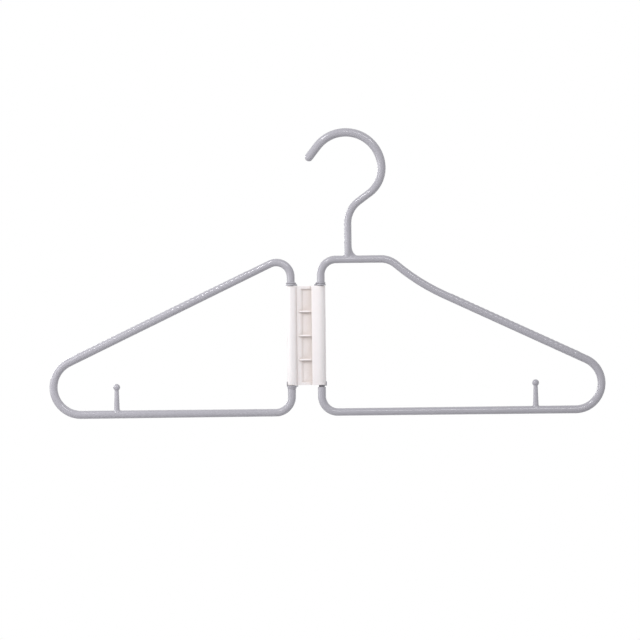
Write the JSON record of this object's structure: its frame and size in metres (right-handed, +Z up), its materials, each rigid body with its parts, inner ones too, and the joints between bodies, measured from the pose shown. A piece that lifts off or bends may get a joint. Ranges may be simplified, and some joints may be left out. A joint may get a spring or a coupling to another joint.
{
  "type": "folding clothes hanger",
  "caption": "Travel clothes hanger of round bar: a wing with the hook and a shorter plain wing, folding together on a flat clip-on hinge block.",
  "frame": {"origin": "the point under the crown of the hook that rests on a clothes rail", "axes": "+Z up, +X along the hanger towards the end of the wing that carries the hook, +Y towards the back, the side the wings fold to"},
  "size_m": [0.4171, 0.0076, 0.2159],
  "materials": {
    "grey_plastic": "glossy",
    "white_plastic": "satin"
  },
  "bodies": {
    "hook_wing": {"hook_wing": "grey_plastic"},
    "hinge_block": {"hinge_block": "white_plastic"},
    "plain_wing": {"plain_wing": "grey_plastic"}
  },
  "joints": [
    {"name": "hook_wing_fold", "type": "hinge", "parent": "hook_wing", "child": "hinge_block", "pos_m": [-0.01961, 0, -0.14883], "axis": [0, 0, -1], "range_deg": [0, 90]},
    {"name": "plain_wing_fold", "type": "hinge", "parent": "hinge_block", "child": "plain_wing", "pos_m": [-0.04211, 0, -0.14883], "axis": [0, 0, -1], "range_deg": [0, 90]}
  ]
}
